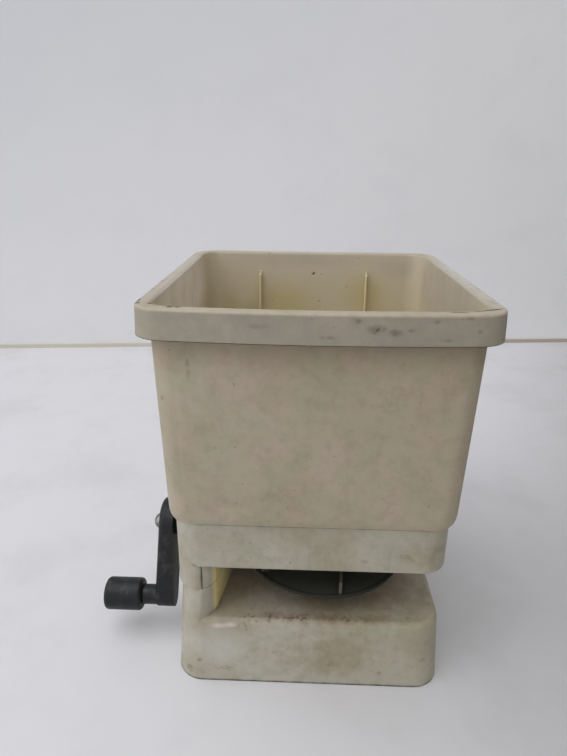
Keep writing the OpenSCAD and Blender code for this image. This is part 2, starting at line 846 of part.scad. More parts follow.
module base_screws() {
    color(steel) for (p = base_posts) translate([p[0], p[1], base_seat_z])
        screw(base_screw_r, base_screw_l, base_screw_head, 3);
}

// Crank arm: a tapered bar, thicker and narrower towards its knob, with its outer edge rounded
module arm_bar() {
    hull() for (a = [0 : 18 : 90]) {
        x_rod(arm_out + arm_edge * (1 - sin(a)), arm_in, arm_top_r - arm_edge * (1 - cos(a)), $fn = 32);
        translate([0, 0, -crank_len]) x_rod(arm_out - arm_lean + arm_edge / 2 * (1 - sin(a)), arm_in,
            arm_end_r - arm_edge / 2 * (1 - cos(a)), $fn = 32);
    }
}

module crank_arm() {
    color(black) difference() {
        union() {
            at_crank() rotate([-crank_tilt, 0, 0]) arm_bar();
            at_crank() x_rod(arm_in - 1, arm_hub_x, 8.5);
            at_knob() x_rod(neck_end, arm_out + 1, neck_d / 2);
        }
        at_crank() {
            x_rod(arm_out - arm_lean, arm_out, dome_r + slide_fit);
            x_rod(arm_out - 1, arm_in, screw_r + 0.15);
            difference() {
                x_rod(arm_out + arm_floor, far / 10, shaft_r + hole_fit);
                translate([arm_out, -far / 2, shaft_r - 0.5 + hole_fit]) cube([far, far, far]);
            }
        }
        at_knob() x_rod(neck_end - 1, arm_in - 2, pin_r + hole_fit);
    }
}

module crank_screw() {
    dome_sphere = (dome_r * dome_r + dome_h * dome_h) / (2 * dome_h);
    color(steel) at_crank() {
        intersection() {
            translate([arm_out - dome_h + dome_sphere, 0, 0]) sphere(dome_sphere);
            x_rod(arm_out - dome_h - 1, arm_out, dome_r);
        }
        x_rod(arm_out - 0.5, arm_out + arm_floor + 8, screw_r);
    }
}

module crank_washer() {
    color(steel) at_crank()
        x_ring(arm_hub_x + 0.1, arm_hub_x + 0.1 + crank_washer_t, 7.5, shaft_r + 0.2);
}

module crank_shaft() {
    color(steel) at_crank() difference() {
        x_rod(arm_out + arm_floor + 0.1, face_x - dedendum, shaft_r);
        x_rod(arm_out, arm_out + arm_floor + 10, screw_r + hole_fit);
        translate([arm_out, -far / 2, shaft_r - 0.5]) cube([arm_hub_x - arm_out, far, far]);
        translate([gear_pin_x, 0, -far / 2]) cylinder(h = far, r = cross_r + hole_fit);
    }
}

module crank_bushing() {
    color(black) at_crank() {
        x_ring(-band_w / 2, -band_w / 2 + crank_boss_l, crank_bush_r, shaft_r + run_fit);
        x_ring(-band_w / 2 - flange_t, -band_w / 2, crank_boss_r, shaft_r + run_fit);
    }
}

module inner_bushing() {
    color(black) at_crank() x_ring(neck_x, inner_bush_x, inner_bush_r, shaft_r + run_fit);
}

// Drive gear: straight teeth on its face, which looks at the spindle
module drive_gear() {
    root_x = face_x - dedendum;
    color(black) at_crank() {
        difference() {
            union() {
                x_rod(gear_back, root_x, face_out);
                x_rod(gear_hub_x, gear_back, gear_hub_r);
            }
            x_rod(-far, far, shaft_r + hole_fit);
            translate([gear_pin_x, 0, -far / 2]) cylinder(h = far, r = cross_r + hole_fit);
        }
        for (k = [0 : gear_n - 1]) rotate([k * 360 / gear_n, 0, 0]) translate([0, 0, face_in])
            linear_extrude(face_out - face_in - 0.1)
                polygon([[root_x - 0.5, -tooth_root], [root_x, -tooth_root], [face_x + addendum, -tooth_tip],
                    [face_x + addendum, tooth_tip], [root_x, tooth_root], [root_x - 0.5, tooth_root]]);
    }
}

module drive_gear_pin() {
    color(steel) at_crank() translate([gear_pin_x, 0, pin_inset - gear_hub_r])
        cylinder(h = 2 * (gear_hub_r - pin_inset), r = cross_r);
}

module knob_pin() {
    color(steel) at_knob() x_rod(knob_out + knob_pocket - 2.2, arm_in - 2.2, pin_r);
}

// Push-on ring on the knob pin's end, in the pocket under the cap
module knob_retainer() {
    color(steel) at_knob()
        x_ring(knob_out + knob_pocket - 1.2, knob_out + knob_pocket - 0.2, 6.2, pin_r + hole_fit);
}

module crank_knob() {
    color(black) at_knob() difference() {
        translate([knob_in, 0, 0]) rotate([0, -90, 0]) rotate_extrude() knob_profile(knob_len);
        x_rod(knob_out - 1, knob_out + knob_pocket, knob_pocket_r);
        x_rod(knob_out, knob_in + 1, pin_r + run_fit + 0.03);
    }
}

module knob_profile(l) {
    r = knob_d / 2;
    square([r - knob_edge, l]);
    translate([0, knob_edge]) square([r, l - 2 * knob_edge]);
    for (y = [knob_edge, l - knob_edge]) translate([r - knob_edge, y]) circle(knob_edge);
}

module knob_cap() {
    color(black) at_knob() x_rod(knob_out + 0.2, knob_out + 2.2, knob_pocket_r - hole_fit);
}

// Pinion: spur teeth below a pinned hub, a tooth space facing the drive gear
module pinion() {
    color(brass) at_spindle() difference() {
        union() {
            translate([0, 0, pinion_z]) linear_extrude(pinion_h) {
                circle(pinion_root);
                for (j = [0 : pinion_n - 1]) rotate(180 + (j + 0.5) * 360 / pinion_n) pinion_tooth();
            }
            translate([0, 0, pinion_z + pinion_h]) cylinder(h = pinion_hub_h, r = pinion_hub_r);
        }
        translate([0, 0, pinion_z - 1]) cylinder(h = far, r = spindle_r + hole_fit);
        pinion_cross(far);
    }
}

module pinion_tooth() {
    polygon([[pinion_root - 0.3, -0.8 * tooth_m], [pinion_r, -0.52 * tooth_m], [pinion_tip, -tooth_tip],
        [pinion_tip, tooth_tip], [pinion_r, 0.52 * tooth_m], [pinion_root - 0.3, 0.8 * tooth_m]]);
}

module pinion_cross(l, fit = hole_fit) {
    translate([0, l / 2, pinion_z + pinion_h + pinion_hub_h / 2]) rotate([90, 0, 0])
        cylinder(h = l, r = cross_r + fit);
}

module pinion_pin() {
    color(steel) at_spindle() pinion_cross(2 * (pinion_hub_r - pin_inset), 0);
}

module spindle() {
    color(steel) at_spindle() difference() {
        translate([0, 0, spindle_bottom]) cylinder(h = spindle_top - spindle_bottom, r = spindle_r);
        pinion_cross(far);
        impeller_cross(far);
        agitator_cross(far);
        z_ring(clip_z, clip_t + 0.1, spindle_r + 1, spindle_r - clip_depth);
    }
}

module spindle_clip() {
    color(steel) at_spindle() z_ring(clip_z + 0.05, clip_t, 4.5, spindle_r - clip_depth + 0.05);
}

// Impeller: a disc with a shallow well, offset vanes and a hub pinned below
module impeller() {
    color(black) at_spindle() difference() {
        union() {
            rotate_extrude($fn = 96) polygon([
                [0, hub_z], [hub_r, hub_z], [hub_r, well_z], [well_r, well_z], [well_r + well_h, disc_z],
                [disc_r, disc_z], [disc_r, disc_top], [well_r + well_h - 0.8, disc_top],
                [well_r - 0.8, well_z + disc_t], [0, well_z + disc_t]]);
            for (k = [0 : vane_n - 1]) rotate(vane_turn + k * 360 / vane_n) vane();
        }
        translate([0, 0, hub_z - 1]) cylinder(h = far, r = spindle_r + hole_fit);
        impeller_cross(far);
    }
}

module vane() {
    x0 = sqrt(vane_in * vane_in - vane_offset * vane_offset);
    x1 = sqrt(pow(disc_r - 0.3, 2) - pow(vane_offset + vane_t / 2, 2));
    translate([x0, vane_offset - vane_t / 2, disc_top - 0.5]) cube([x1 - x0, vane_t, vane_h + 0.5]);
}

module impeller_cross(l, fit = hole_fit) {
    translate([0, l / 2, hub_z + 3.5]) rotate([90, 0, 0]) cylinder(h = l, r = cross_r + fit);
}

module impeller_pin() {
    color(steel) at_spindle() impeller_cross(2 * (hub_r - pin_inset), 0);
}

module thrust_washer() {
    color(steel) at_spindle() z_ring(boss_top, washer_t, 7, spindle_r + 0.2);
}

module floor_bushing() {
    color(black) at_spindle() {
        z_ring(seam_z - floor_boss_h, floor_boss_h + floor_t, floor_bush_r, spindle_r + run_fit);
        z_ring(floor_z, flange_t, 7, spindle_r + run_fit);
    }
}

module agitator() {
    color(black) at_spindle() difference() {
        union() {
            translate([0, 0, agitator_z]) cylinder(h = agitator_h, r = agitator_hub_r);
            translate([-agitator_bar[0] / 2, -agitator_bar[1] / 2, agitator_z + 2]) cube(agitator_bar);
        }
        translate([0, 0, agitator_z - 1]) cylinder(h = agitator_h, r = spindle_r + hole_fit);
        agitator_cross(far);
    }
}

module agitator_cross(l, fit = hole_fit) {
    translate([0, l / 2, agitator_z + 7]) rotate([90, 0, 0]) cylinder(h = l, r = cross_r + fit);
}

module agitator_pin() {
    color(steel) at_spindle() agitator_cross(2 * (agitator_hub_r - pin_inset), 0);
}

// Flow gate, drawn back to its open position
module flow_gate() {
    color(black) translate([port_x, 0, gate_z]) difference() {
        union() {
            translate([-gate_w / 2, gate_front, 0]) cube([gate_w, gate_back - gate_front, gate_t]);
            translate([-stem_w / 2, gate_back - 1, 0])
                cube([stem_w, tab_y + tab_size[1] - 2 - gate_back, gate_t]);
        }
        translate([0, tab_y + tab_screw_y, -1]) cylinder(h = gate_t + 2, r = 1.3);
    }
}

module gate_tab() {
    color(black) translate([port_x, tab_y, gate_z]) difference() {
        translate([-tab_size[0] / 2, 0, gate_t / 2 - tab_size[2] / 2]) tab_block();
        translate([-stem_w / 2 - 0.1, -1, -0.1]) cube([stem_w + 0.2, tab_size[1] - 0.9, gate_t + 0.2]);
        translate([0, tab_screw_y, -far / 2]) cylinder(h = far / 2 + gate_t + 3, r = 1.25);
        translate([0, tab_screw_y, -far]) cylinder(h = far - 4, r = 2.6);
    }
}

module tab_block() {
    rotate([90, 0, 90]) linear_extrude(tab_size[0])
        translate([tab_size[1] / 2, tab_size[2] / 2]) plan(tab_size[1], tab_size[2], 3);
}

module gate_tab_screw() {
    color(steel) translate([port_x, tab_y + tab_screw_y, gate_z - 4]) screw(1.2, 8.5, 2.4, 1.2);
}

hopper();
gear_housing();
gear_cover();
base();
handle_left();
handle_right();
handle_clamp_screws();
handle_mount_screws();
hopper_screws();
cover_screws();
base_screws();
crank_arm();
crank_screw();
crank_washer();
crank_shaft();
crank_bushing();
inner_bushing();
drive_gear();
drive_gear_pin();
knob_pin();
knob_retainer();
crank_knob();
knob_cap();
pinion();
pinion_pin();
spindle();
spindle_clip();
impeller();
impeller_pin();
thrust_washer();
floor_bushing();
agitator();
agitator_pin();
flow_gate();
gate_tab();
gate_tab_screw();
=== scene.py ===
# Looks of the hand spreader: aged moulded plastic, a black crank and throwing disc, on a pale table.
# Metres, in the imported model's frame: +Z up, the hopper's front looks along -Y.

import bmesh
import bpy
import json
import math
from mathutils import Matrix, Vector

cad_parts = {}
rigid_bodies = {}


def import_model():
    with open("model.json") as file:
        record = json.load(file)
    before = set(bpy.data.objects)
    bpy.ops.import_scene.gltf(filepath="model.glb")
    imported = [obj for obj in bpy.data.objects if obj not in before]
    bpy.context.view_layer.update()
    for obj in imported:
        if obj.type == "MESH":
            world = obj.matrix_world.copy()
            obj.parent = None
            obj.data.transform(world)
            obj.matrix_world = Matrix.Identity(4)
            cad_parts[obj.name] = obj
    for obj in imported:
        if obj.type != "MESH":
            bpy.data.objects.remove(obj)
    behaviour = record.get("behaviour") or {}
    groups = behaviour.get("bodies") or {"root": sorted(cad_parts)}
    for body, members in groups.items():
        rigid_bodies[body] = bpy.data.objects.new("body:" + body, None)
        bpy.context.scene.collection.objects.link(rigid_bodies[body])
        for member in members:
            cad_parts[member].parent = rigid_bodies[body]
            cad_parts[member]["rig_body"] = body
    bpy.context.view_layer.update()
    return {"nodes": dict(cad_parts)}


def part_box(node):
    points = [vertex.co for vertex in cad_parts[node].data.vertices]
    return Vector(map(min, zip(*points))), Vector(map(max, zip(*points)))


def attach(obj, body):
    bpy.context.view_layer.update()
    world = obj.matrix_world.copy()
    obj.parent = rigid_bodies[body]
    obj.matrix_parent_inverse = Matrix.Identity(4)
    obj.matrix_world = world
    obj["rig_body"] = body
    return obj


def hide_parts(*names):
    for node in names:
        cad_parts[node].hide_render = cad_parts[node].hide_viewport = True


MM = 0.001
FRAME_W, FRAME_H = 567, 756

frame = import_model()
nodes = frame["nodes"]

# Heights and sides that the finish is placed by, some read from the imported pieces and some given
hopper_low, hopper_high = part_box("hopper")
band_low, band_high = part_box("gear_housing")
base_low, base_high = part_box("base")
disc_low, disc_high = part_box("impeller")
RIM_Z = hopper_high.z
SEAM_Z = band_high.z
SPLIT_Z = base_high.z
BAND_Z = SPLIT_Z + 0.0166
BASE_TOP_Z = SPLIT_Z - 0.0209
SKIRT_H = 0.015
HOPPER_DRAFT = math.tan(math.radians(1.4))
INNER_HALF_W, INNER_HALF_D, INNER_CORNER_R = 0.08115, 0.08665, 0.012
RIB_X, RIB_DROP = 0.04, 0.0135
AXIS = (disc_low + disc_high) / 2
SWEEP_R = 0.0572
SWEEP_SLANT = math.radians(8.7)


# Camera, solved from the photograph's corners
FOCAL_PX = 568
CAMERA_AT = Vector((-8.3, -346.4, 298.6)) * MM
YAW, PITCH, ROLL = -0.0313, 0.362, 0.0104


def make_camera():
    data = bpy.data.cameras.new("camera")
    camera = bpy.data.objects.new("camera", data)
    bpy.context.scene.collection.objects.link(camera)
    ahead = Vector((math.sin(YAW) * math.cos(PITCH), math.cos(YAW) * math.cos(PITCH), -math.sin(PITCH)))
    level = Vector((math.cos(YAW), -math.sin(YAW), 0))
    down = ahead.cross(level)
    right = math.cos(ROLL) * level - math.sin(ROLL) * down
    down = math.sin(ROLL) * level + math.cos(ROLL) * down
    turn = Matrix((right, -down, -ahead)).transposed()
    camera.matrix_world = Matrix.Translation(CAMERA_AT) @ turn.to_4x4()
    data.sensor_width = 36
    data.lens = data.sensor_width * FOCAL_PX / FRAME_H
    data.clip_start, data.clip_end = 0.01, 20
    bpy.context.scene.camera = camera
    return camera


def linear(code):
    """An sRGB hex colour as linear red, green, blue, alpha."""
    parts = [int(code[i:i + 2], 16) / 255 for i in (1, 3, 5)]
    return tuple(c / 12.92 if c <= 0.04045 else ((c + 0.055) / 1.055) ** 2.4 for c in parts) + (1,)


def add(tree, kind, settings=None, out=0, **inputs):
    """Adds a node with its settings and links, and returns its output called or numbered out.
    An input's name has _ for a space, and n6 stands for the socket numbered 6."""
    made = tree.nodes.new("ShaderNode" + kind)
    for name, value in (settings or {}).items():
        setattr(made, name, value)
    for name, value in inputs.items():
        key = int(name[1:]) if name[0] == "n" and name[1:].isdigit() else name.replace("_", " ")
        if isinstance(value, bpy.types.NodeSocket):
            tree.links.new(value, made.inputs[key])
        else:
            made.inputs[key].default_value = value
    return made.outputs[out] if made.outputs else None


# Settings that come up again and again
COLOUR_MIX = {"data_type": "RGBA"}
SOFT_STEP = {"interpolation_type": "SMOOTHSTEP"}
PRODUCT = {"operation": "MULTIPLY"}
SIZE_OF = {"operation": "ABSOLUTE"}
LENGTH = {"operation": "LENGTH"}
BELOW = {"operation": "LESS_THAN"}


def new_material(name):
    """An empty material with its shader and output; returns material, tree, shader."""
    material = bpy.data.materials.new(name)
    material.use_nodes = True
    tree = material.node_tree
    tree.nodes.clear()
    shader = add(tree, "BsdfPrincipled").node
    add(tree, "OutputMaterial", Surface=shader.outputs[0])
    return material, tree, shader


# Distances between the marks of each finish, in millimetres
GRAIN_MM = 0.9
SPECK_MM = 3.4
BLOT_MM = 11
MOTTLE_MM = 6
SMUDGE_MM = 24
CLOUD_MM = 60
STREAK_MM = 6
CRUMB_MM = 2.4
AGED_MM = 17


def per_metre(spacing_mm):
    """Noise scale that repeats at this spacing, for coordinates in metres."""
    return 1 / (spacing_mm * MM)


def patch(tree, place, centre_mm, radii_mm, turn=0.0, edge=0.5):
    """Share that is 1 inside an ellipsoid and fades out at its edge; radii along X, Y and Z."""
    shrink = tuple(1 / (r * MM) for r in radii_mm)
    centre = Matrix.Rotation(-turn, 3, "Z") @ (Vector(centre_mm) * MM)
    away = tuple(-centre[i] * shrink[i] for i in range(3))
    local = add(tree, "Mapping", Vector=place, Rotation=(0, 0, -turn), Scale=(1, 1, 1))
    local = add(tree, "Mapping", Vector=local, Location=away, Scale=shrink)
    reach = add(tree, "VectorMath", LENGTH, "Value", n0=local)
    return add(tree, "MapRange", SOFT_STEP, Value=reach, From_Min=1.0, From_Max=edge)


def level_line(tree, height, level, half_mm, strength):
    """Share of a dark line along a level joint, fading above and below it: dirt in a joint, and at the table a painted
    contact shadow.
    """
    off = add(tree, "Math", {"operation": "SUBTRACT"}, n0=height, n1=level)
    off = add(tree, "Math", SIZE_OF, n0=off)
    return add(tree, "MapRange", SOFT_STEP, Value=off, From_Min=half_mm * MM, From_Max=0.0, To_Max=strength)


# Marks laid on the pieces, most of them stains, dirt and wear, some painted shade and some painted light: centre,
# radii and turn in millimetres and radians, then strength
CHIPS = [
    ((-88.6, -76.6, 235.0), (2.2, 3.4, 2.4), 0.0, 1.0), ((-86.9, -82.4, 235.3), (1.7, 1.8, 1.8), 0.0, 0.9),
    ((-79.6, -83.4, 235.0), (3.4, 1.7, 2.4), -0.3, 0.85), ((-69.7, -88.2, 235.0), (2.2, 3.2, 3.4), 0.0, 1.0),
    ((-66.0, -88.4, 235.0), (2.0, 2.8, 3.0), 0.0, 1.0), ((-57.0, -89.4, 235.2), (3.4, 1.0, 1.6), 0.0, 0.5),
    ((79.0, -85.2, 235.2), (11.0, 1.2, 2.0), 0.42, 1.0), ((64.0, -90.6, 235.2), (6.0, 1.0, 1.6), 0.06, 0.7),
    ((-88.6, -50.4, 235.3), (1.3, 3.2, 1.6), 0.0, 0.6), ((88.4, -62.0, 235.2), (1.2, 5.0, 1.6), 0.0, 0.5),
    ((-70.0, 93.8, 234.8), (3.2, 1.4, 2.0), 0.0, 0.7), ((-18.0, 94.2, 234.8), (4.4, 1.6, 2.0), 0.0, 0.8),
    ((-3.8, 94.2, 234.8), (3.4, 1.4, 2.0), 0.0, 0.8), ((7.0, 94.4, 234.8), (3.0, 1.2, 1.8), 0.0, 0.6),
]
LAND_DIRT = [
    ((88.0, -30.0, 235.4), (2.4, 34.0, 2.0), 0.0, 0.6), ((86.0, -70.0, 235.4), (3.0, 12.0, 2.0), 0.3, 0.5),
    ((83.6, 10.0, 235.2), (1.2, 40.0, 1.6), 0.0, 0.5), ((-87.6, -30.0, 235.4), (2.0, 34.0, 2.0), 0.0, 0.45),
    ((-76.0, -86.0, 235.2), (12.0, 4.0, 2.0), -0.3, 0.5), ((20.0, -90.6, 235.0), (50.0, 1.6, 1.8), 0.0, 0.3),
    ((60.0, -90.0, 235.0), (14.0, 1.6, 1.8), 0.0, 0.6), ((-20.0, 94.0, 235.0), (50.0, 1.6, 1.8), 0.0, 0.35),
]
LAND_PALE = [
    ((86.0, 0.0, 235.8), (7.0, 150.0, 1.9), 0.0, 0.9), ((-86.0, 0.0, 235.8), (7.0, 150.0, 1.9), 0.0, 0.6),
    ((0.0, 91.0, 235.8), (130.0, 6.0, 1.9), 0.0, 0.6),
]
INSIDE_SPOTS = [
    ((0.1, 86, 220.2), (2.4, 4, 1.5), 0.0, 1.0), ((6.2, 86, 219.8), (1.1, 4, 0.9), 0.0, 0.85),
    ((25.6, 86, 210.3), (1.2, 4, 1.0), 0.0, 0.7), ((5.0, 86, 199.0), (1.5, 4, 1.0), 0.0, 0.6),
    ((4.3, 86, 195.1), (1.1, 4, 0.8), 0.0, 0.6), ((80.5, 40, 209.0), (4, 1.4, 1.2), 0.0, 0.6),
]
SKIRT_SMUDGES = [
    ((17.5, -97, 232.4), (2.4, 5, 2.0), 0.0, 0.6), ((26.0, -97, 228.6), (6.6, 5, 3.2), 0.0, 0.8),
    ((34.5, -97, 227.0), (4.8, 5, 2.6), 0.0, 0.65), ((42.0, -97, 228.2), (3.0, 5, 1.4), 0.0, 0.25),
    ((52.7, -97, 232.4), (3.4, 5, 1.5), 0.0, 0.35), ((68.0, -95, 233.8), (3.2, 5, 1.3), 0.0, 0.4),
    ((73.0, -95, 227.7), (2.2, 5, 1.4), 0.0, 0.35), ((4.0, -97, 224.5), (6.0, 5, 1.4), 0.0, 0.35),
    ((-28.0, -97, 229.0), (7.0, 5, 1.6), 0.0, 0.3), ((58.0, -97, 223.6), (4.6, 5, 1.2), 0.0, 0.35),
]
WALL_SMEARS = [
    ((-63.0, -88, 205.0), (1.4, 6, 8.0), 0.0, 0.6), ((-40.5, -88, 198.6), (1.1, 6, 4.6), 0.0, 0.6),
    ((38.0, -88, 192.0), (9.0, 6, 12.0), 0.0, 0.2), ((-20.0, -86, 133.0), (14.0, 6, 7.0), 0.0, 0.2),
]
BODY_STAINS = [
    ((-71.5, -82, 6.5), (4.5, 6, 4.2), 0.0, 0.55), ((-66.0, -85, 15.0), (2.6, 5, 2.0), 0.0, 0.45),
    ((-52.0, -85, 10.0), (9.0, 5, 2.0), 0.0, 0.3), ((13.0, -85, 15.0), (4.0, 5, 2.6), 0.0, 0.4),
    ((-12.0, -85, 15.0), (2.2, 5, 2.0), 0.0, 0.3), ((68.0, -84, 20.0), (3.6, 5, 1.8), 0.0, 0.35),
    ((-4.0, -85, 35.0), (3.6, 5, 1.8), 0.0, 0.3), ((51.0, -84, 94.0), (7.0, 5, 2.4), 0.0, 0.22),
    ((-20.0, -84, 90.0), (9.0, 5, 3.0), 0.0, 0.2), ((30.0, -84, 90.0), (3.0, 5, 2.0), 0.0, 0.3),
]
SCUFFS = [
    ((-53.6, -83.5, 40.6), (6.6, 4.0, 2.7), 0.0, 0.75), ((-46.8, -83.2, 41.4), (6.0, 4.0, 2.4), 0.0, 0.8),
]
EDGE_DIRT = [
    ((-29.0, -80.5, 44.2), (17.0, 4.0, 3.4), 0.0, 0.9), ((-6.0, -80.5, 44.2), (15.0, 3.6, 3.0), 0.0, 0.8),
    ((24.0, -80.0, 44.8), (18.0, 4.4, 2.4), 0.0, 0.6), ((58.0, -78.0, 43.0), (12.0, 5.0, 3.4), 0.2, 0.7),
    ((-38.0, -82.6, 40.0), (9.0, 3.0, 5.0), 0.0, 0.6), ((0.0, -79.0, 44.0), (60.0, 6.0, 5.0), 0.0, 0.35),
]
# Painted light: paler patches on the left of the base front and on the column, on the side the light comes from
BODY_PAINTED_LIGHT = [
    ((-58.0, -84.0, 26.0), (26.0, 9.0, 20.0), 0.0, 0.42), ((-74.0, -80.0, 58.0), (12.0, 9.0, 30.0), 0.0, 0.35),
]
BODY_YELLOW = [
    ((66.0, -84.0, 94.0), (24.0, 9.0, 13.0), 0.0, 0.52), ((8.0, -84.0, 22.0), (66.0, 9.0, 24.0), 0.0, 0.34),
]
BASE_DUST = [
    ((10.0, -30.0, 45.0), (150.0, 110.0, 4.0), 0.0, 0.45),
]
JOINT_DIRT = [
    ((-62.8, -82.0, 74.0), (1.6, 5.0, 11.0), 0.0, 0.6), ((-56.0, -82.0, 82.6), (8.0, 5.0, 1.6), 0.0, 0.7),
]
EDGE_SHADE = [
    ((12.0, -79.5, 44.6), (64.0, 6.4, 5.6), 0.0, 0.85), ((30.0, -66.0, 45.6), (60.0, 14.0, 3.0), 0.0, 0.35),
]
INSIDE_YELLOW = [
    ((-22.0, 86, 196.0), (38.0, 6, 26.0), 0.0, 0.62), ((40.0, 86, 204.0), (26.0, 6, 24.0), 0.0, 0.62),
    ((-62.0, 86, 190.0), (10.0, 8, 20.0), 0.0, 0.5), ((-80, 60, 196.0), (5, 28.0, 18.0), 0.0, 0.4),
]
# Painted light on the hopper's left inner wall
INSIDE_PAINTED_LIGHT = [
    ((-83, 0, 214.0), (6, 110, 44.0), 0.0, 0.85),
]
# Painted shade on the hopper's right inner wall, and grey patches high on its back wall
INSIDE_GREY_SHADE = [
    ((83, 0, 214.0), (6, 110, 44.0), 0.0, 0.5), ((70, 92, 226.0), (40, 9, 16.0), 0.0, 0.35),
    ((-10, 92, 230.0), (80, 9, 10.0), 0.0, 0.3),
]
INSIDE_SHADE = [
    ((-79.0, 82, 196.0), (9.0, 12.0, 26.0), 0.0, 0.25),
    ((-48.0, 86, 188.0), (12.0, 6, 14.0), 0.0, 0.2),
]


def marks(tree, colour, place, ragged, spots, stain, edge=0.35):
    """Lays a list of marks over a colour, with edges broken up by a fine noise."""
    for centre, radii, turn, strength in spots:
        share = patch(tree, place, centre, radii, turn, edge)
        share = add(tree, "Math", PRODUCT, n0=share, n1=ragged)
        share = add(tree, "Math", {"operation": "MULTIPLY", "use_clamp": True}, n0=share, n1=strength)
        colour = add(tree, "Mix", COLOUR_MIX, 2, n0=share, n6=colour, n7=linear(stain))
    return colour


